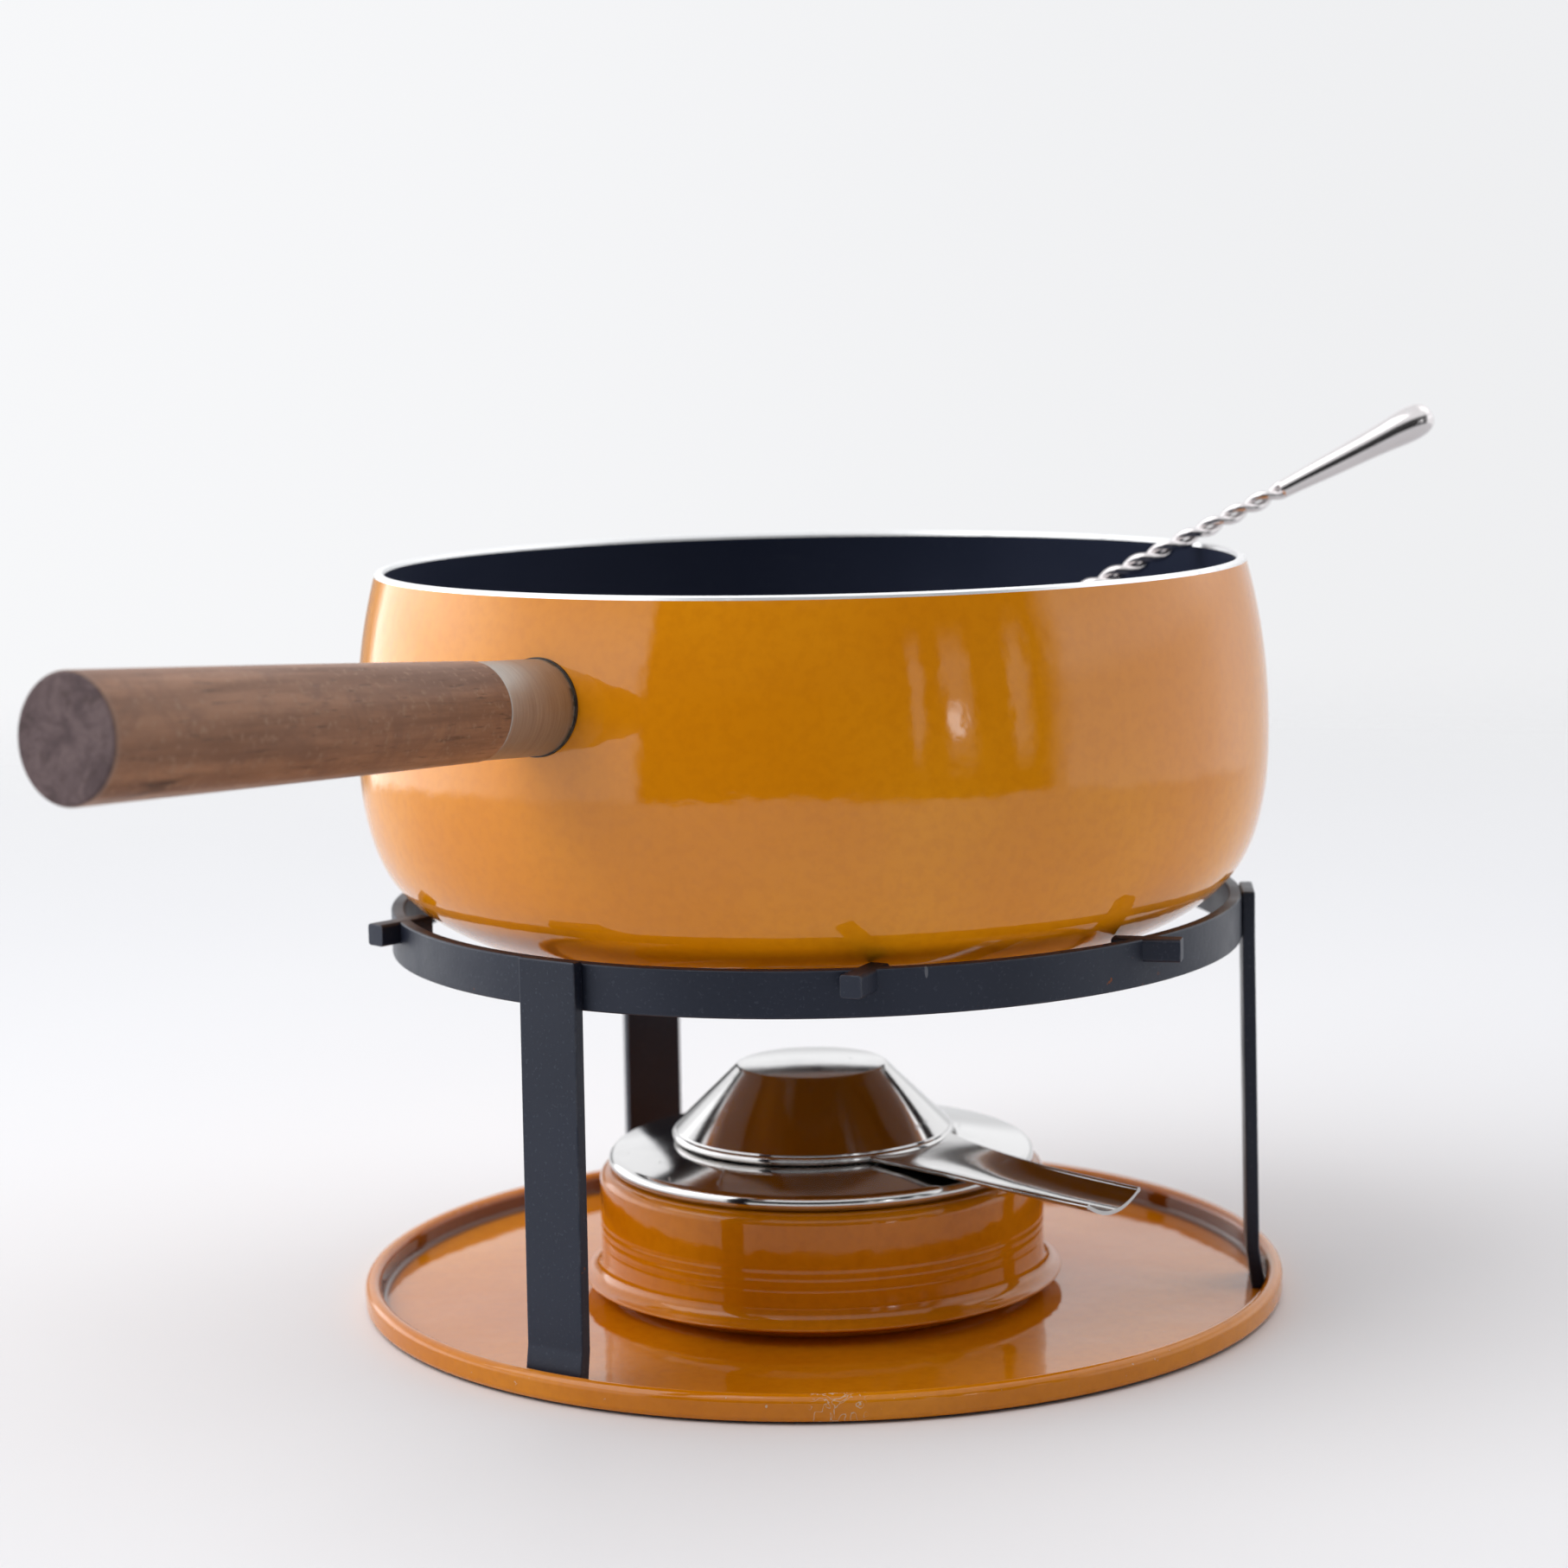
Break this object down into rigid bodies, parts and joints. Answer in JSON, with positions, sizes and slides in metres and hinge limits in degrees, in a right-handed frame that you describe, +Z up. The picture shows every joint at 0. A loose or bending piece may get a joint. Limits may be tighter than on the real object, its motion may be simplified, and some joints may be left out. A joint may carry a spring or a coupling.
{
  "type": "fondue pot set",
  "caption": "Enamelled fondue pot with a wooden side handle on a three-legged stand over a spirit burner and tray, with a snuffer and a twisted fork.",
  "frame": {"origin": "centre of the tray's underside, on the table", "axes": "+Z up along the common axis of tray, stand, burner and pot; the pot handle points towards -Y and a little towards -X"},
  "size_m": [0.2909, 0.3145, 0.2038],
  "materials": {
    "orange_enamel": "gloss",
    "pot_enamel": "gloss outside, dark non-stick inside",
    "black_paint": "satin",
    "polished_steel": "polished",
    "ferrule_steel": "brushed",
    "bare_steel": "machined",
    "dark_seal": "matt",
    "walnut": "oiled",
    "wadding_fibre": "matt"
  },
  "bodies": {
    "tray": {"tray_pan": "orange_enamel"},
    "stand": {"stand_ring": "black_paint", "stand_leg_front": "black_paint", "stand_leg_right": "black_paint", "stand_leg_rear": "black_paint", "pot_support_pegs": "black_paint"},
    "pot": {"pot_shell": "pot_enamel", "handle_boss": "bare_steel", "handle_stud": "bare_steel", "handle_gasket": "dark_seal", "handle_ferrule": "ferrule_steel", "handle_grip": "walnut", "grip_insert": "bare_steel"},
    "fork": {"fork_handle": "polished_steel", "fork_strand_a": "polished_steel", "fork_strand_b": "polished_steel"},
    "burner": {"burner_holder": "orange_enamel", "burner_plate": "polished_steel", "fuel_cup": "bare_steel", "fuel_wadding": "wadding_fibre", "burner_gauze": "bare_steel"},
    "snuffer": {"snuffer_cone": "polished_steel", "snuffer_lever": "polished_steel"}
  },
  "joints": [
    {"name": "stand_lift", "type": "slide", "parent": "tray", "child": "stand", "axis": [0, 0, 1], "range_m": [0, 0.06]},
    {"name": "pot_lift", "type": "slide", "parent": "stand", "child": "pot", "axis": [0, 0, 1], "range_m": [0, 0.04]},
    {"name": "fork_slide", "type": "slide", "parent": "pot", "child": "fork", "axis": [0.8991, 0.0462, 0.4354], "range_m": [0, 0.2]},
    {"name": "burner_lift", "type": "slide", "parent": "tray", "child": "burner", "axis": [0, 0, 1], "range_m": [0, 0.008]},
    {"name": "snuffer_lift", "type": "slide", "parent": "burner", "child": "snuffer", "axis": [0, 0, 1], "range_m": [0, 0.02]}
  ]
}
